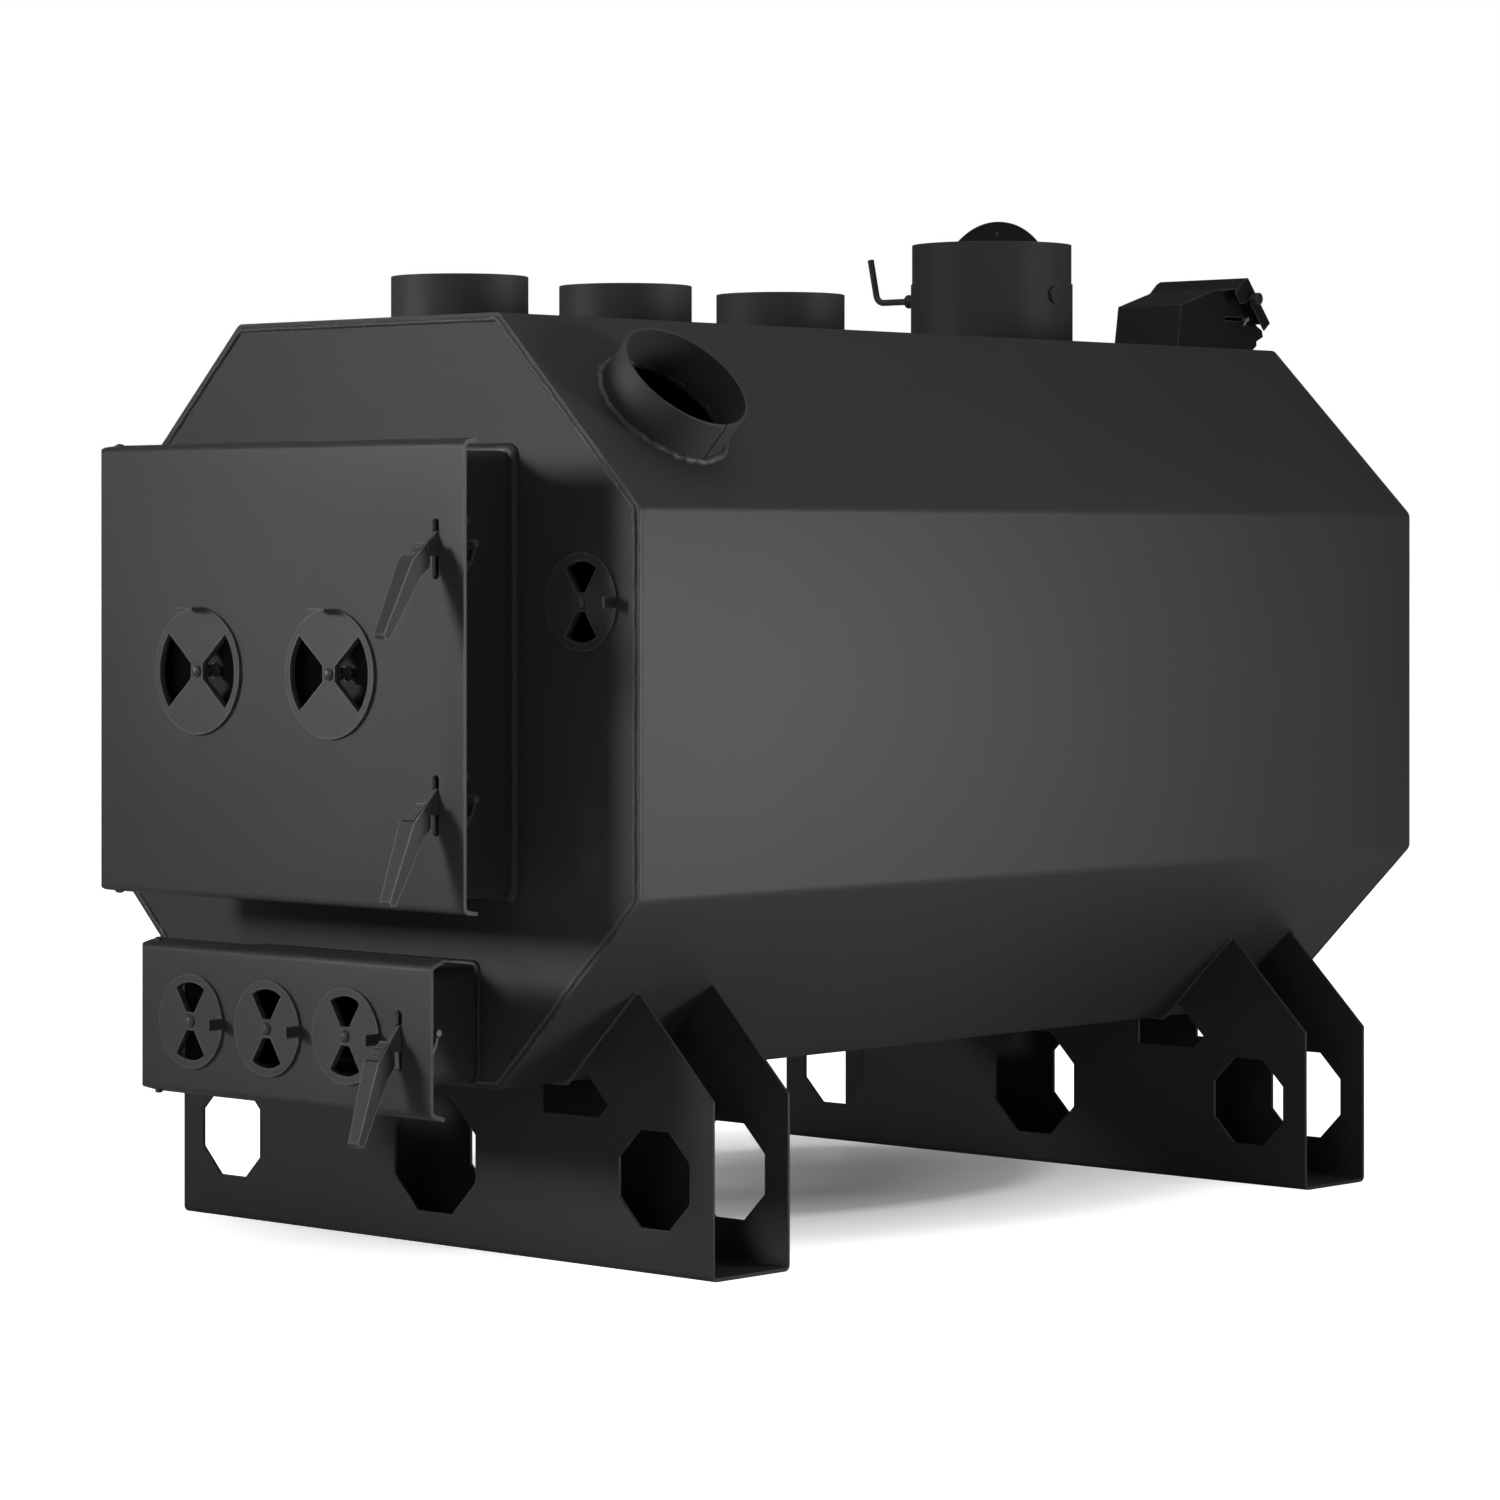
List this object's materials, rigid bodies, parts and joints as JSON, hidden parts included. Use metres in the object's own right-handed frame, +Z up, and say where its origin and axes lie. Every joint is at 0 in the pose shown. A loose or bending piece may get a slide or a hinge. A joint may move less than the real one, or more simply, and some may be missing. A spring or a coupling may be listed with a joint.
{
  "type": "forced-air wood heating stove",
  "caption": "Forced-air wood heating stove: eight-sided sheet steel body on channel legs, loading and ash doors with air rosettes, warm air collars, a flue damper and a rear blower.",
  "frame": {"origin": "on the floor, under the middle of the stove's width and of its length from the door grips to the blower's hood", "axes": "+Z up, doors facing -Y, +X towards the door latches' side"},
  "size_m": [0.828, 1.7378, 1.1588],
  "materials": {
    "stove_paint": "matt heat-resistant paint",
    "leg_paint": "matt heat-resistant paint",
    "door_paint": "matt heat-resistant paint",
    "rosette_paint": "matt heat-resistant paint",
    "chamber_steel": "dull, heat-darkened",
    "grate_iron": "rough cast",
    "pan_zinc": "dull zinc",
    "sealing_rope": "woven",
    "grip_black": "semi-gloss",
    "lever_black": "matt",
    "hardware_black": "satin",
    "damper_black": "matt",
    "zinc": "bright zinc",
    "motor_grey": "satin",
    "fan_zinc": "dull zinc",
    "gland_black": "matt"
  },
  "bodies": {
    "stove": {"body_shell": "stove_paint", "front_plate": "stove_paint", "rear_plate": "stove_paint", "fire_chamber": "chamber_steel", "chamber_back": "chamber_steel", "smoke_baffle": "chamber_steel", "grate": "grate_iron", "grate_rails": "chamber_steel", "ash_pan": "pan_zinc", "front_leg": "leg_paint", "rear_leg": "leg_paint", "top_outlet_front": "stove_paint", "top_outlet_middle": "stove_paint", "top_outlet_rear": "stove_paint", "side_outlet_right": "stove_paint", "side_outlet_left": "stove_paint", "flue_collar": "stove_paint", "damper_bushing": "stove_paint", "loading_neck": "stove_paint", "ash_neck": "stove_paint", "hinge_brackets": "stove_paint", "hinge_pins": "hardware_black", "keeper_pins": "hardware_black", "front_rosette_bolts": "hardware_black", "blower_hood": "stove_paint", "fan_box": "stove_paint", "fan_motor": "motor_grey", "cable_gland": "gland_black"},
    "damper": {"damper_disc": "damper_black", "damper_rod": "damper_black", "damper_nut": "damper_black"},
    "fan": {"fan_impeller": "fan_zinc"},
    "cover": {"intake_cover": "stove_paint"},
    "throttle": {"throttle_plate": "stove_paint", "throttle_screw": "zinc"},
    "right_thumb_screw": {"thumb_screw_right": "hardware_black"},
    "left_thumb_screw": {"thumb_screw_left": "hardware_black"},
    "big_door": {"loading_door": "door_paint", "loading_gasket": "sealing_rope", "heat_shield": "chamber_steel", "door_rosette_bolts": "hardware_black", "door_latch_pivots": "hardware_black"},
    "upper_latch": {"upper_lever": "lever_black", "upper_grip": "grip_black"},
    "lower_latch": {"lower_lever": "lever_black", "lower_grip": "grip_black"},
    "left_door_rosette": {"door_rosette_left": "rosette_paint"},
    "right_door_rosette": {"door_rosette_right": "rosette_paint"},
    "small_door": {"ash_door": "door_paint", "ash_gasket": "sealing_rope", "ash_rosette_bolts": "hardware_black", "ash_latch_pivot": "hardware_black"},
    "ash_latch": {"ash_lever": "lever_black", "ash_grip": "grip_black"},
    "left_ash_rosette": {"ash_rosette_left": "rosette_paint"},
    "middle_ash_rosette": {"ash_rosette_middle": "rosette_paint"},
    "right_ash_rosette": {"ash_rosette_right": "rosette_paint"},
    "right_front_rosette": {"front_rosette_right": "rosette_paint"},
    "left_front_rosette": {"front_rosette_left": "rosette_paint"}
  },
  "joints": [
    {"name": "big_door_hinge", "type": "hinge", "parent": "stove", "child": "big_door", "pos_m": [-0.266, -0.7764, 0.6265], "axis": [0, 0, -1], "range_deg": [0, 110]},
    {"name": "small_door_hinge", "type": "hinge", "parent": "stove", "child": "small_door", "pos_m": [-0.21, -0.7684, 0.252], "axis": [0, 0, -1], "range_deg": [0, 110]},
    {"name": "upper_latch_turn", "type": "hinge", "parent": "big_door", "child": "upper_latch", "pos_m": [0.2455, -0.7714, 0.762], "axis": [1, 0, 0], "range_deg": [-25, 20]},
    {"name": "lower_latch_turn", "type": "hinge", "parent": "big_door", "child": "lower_latch", "pos_m": [0.2455, -0.7714, 0.5], "axis": [1, 0, 0], "range_deg": [-25, 20]},
    {"name": "ash_latch_turn", "type": "hinge", "parent": "small_door", "child": "ash_latch", "pos_m": [0.181, -0.7624, 0.2555], "axis": [1, 0, 0], "range_deg": [-25, 18]},
    {"name": "left_door_rosette_turn", "type": "hinge", "parent": "big_door", "child": "left_door_rosette", "pos_m": [-0.12, -0.7894, 0.6265], "axis": [0, 1, 0], "range_deg": [-90, 0]},
    {"name": "right_door_rosette_turn", "type": "hinge", "parent": "big_door", "child": "right_door_rosette", "pos_m": [0.088, -0.7894, 0.6265], "axis": [0, 1, 0], "range_deg": [-90, 0]},
    {"name": "left_ash_rosette_turn", "type": "hinge", "parent": "small_door", "child": "left_ash_rosette", "pos_m": [-0.141, -0.7804, 0.25], "axis": [0, 1, 0], "range_deg": [-90, 0]},
    {"name": "middle_ash_rosette_turn", "type": "hinge", "parent": "small_door", "child": "middle_ash_rosette", "pos_m": [-0.019, -0.7804, 0.25], "axis": [0, 1, 0], "range_deg": [-90, 0]},
    {"name": "right_ash_rosette_turn", "type": "hinge", "parent": "small_door", "child": "right_ash_rosette", "pos_m": [0.103, -0.7804, 0.25], "axis": [0, 1, 0], "range_deg": [-90, 0]},
    {"name": "right_front_rosette_turn", "type": "hinge", "parent": "stove", "child": "right_front_rosette", "pos_m": [0.3266, -0.6584, 0.702], "axis": [0, 1, 0], "range_deg": [-90, 0]},
    {"name": "left_front_rosette_turn", "type": "hinge", "parent": "stove", "child": "left_front_rosette", "pos_m": [-0.3266, -0.6584, 0.702], "axis": [0, 1, 0], "range_deg": [-90, 0]},
    {"name": "damper_turn", "type": "hinge", "parent": "stove", "child": "damper", "pos_m": [0, 0.3856, 1.065], "axis": [1, 0, 0], "range_deg": [-80, 10]},
    {"name": "fan_spin", "type": "hinge", "parent": "stove", "child": "fan", "pos_m": [0, 0.7179, 0.82], "axis": [0, 1, 0], "continuous": true},
    {"name": "cover_slide", "type": "slide", "parent": "stove", "child": "cover", "axis": [0, 0.7714, 0.6364], "range_m": [0, 0.012]},
    {"name": "throttle_slide", "type": "slide", "parent": "stove", "child": "throttle", "axis": [0, 1, 0], "range_m": [-0.04, 0]},
    {"name": "right_thumb_screw_turn", "type": "hinge", "parent": "stove", "child": "right_thumb_screw", "pos_m": [0.075, 0.8179, 1.0775], "axis": [1, 0, 0], "range_deg": [-180, 180]},
    {"name": "left_thumb_screw_turn", "type": "hinge", "parent": "stove", "child": "left_thumb_screw", "pos_m": [-0.075, 0.8179, 1.0775], "axis": [1, 0, 0], "range_deg": [-180, 180]}
  ]
}
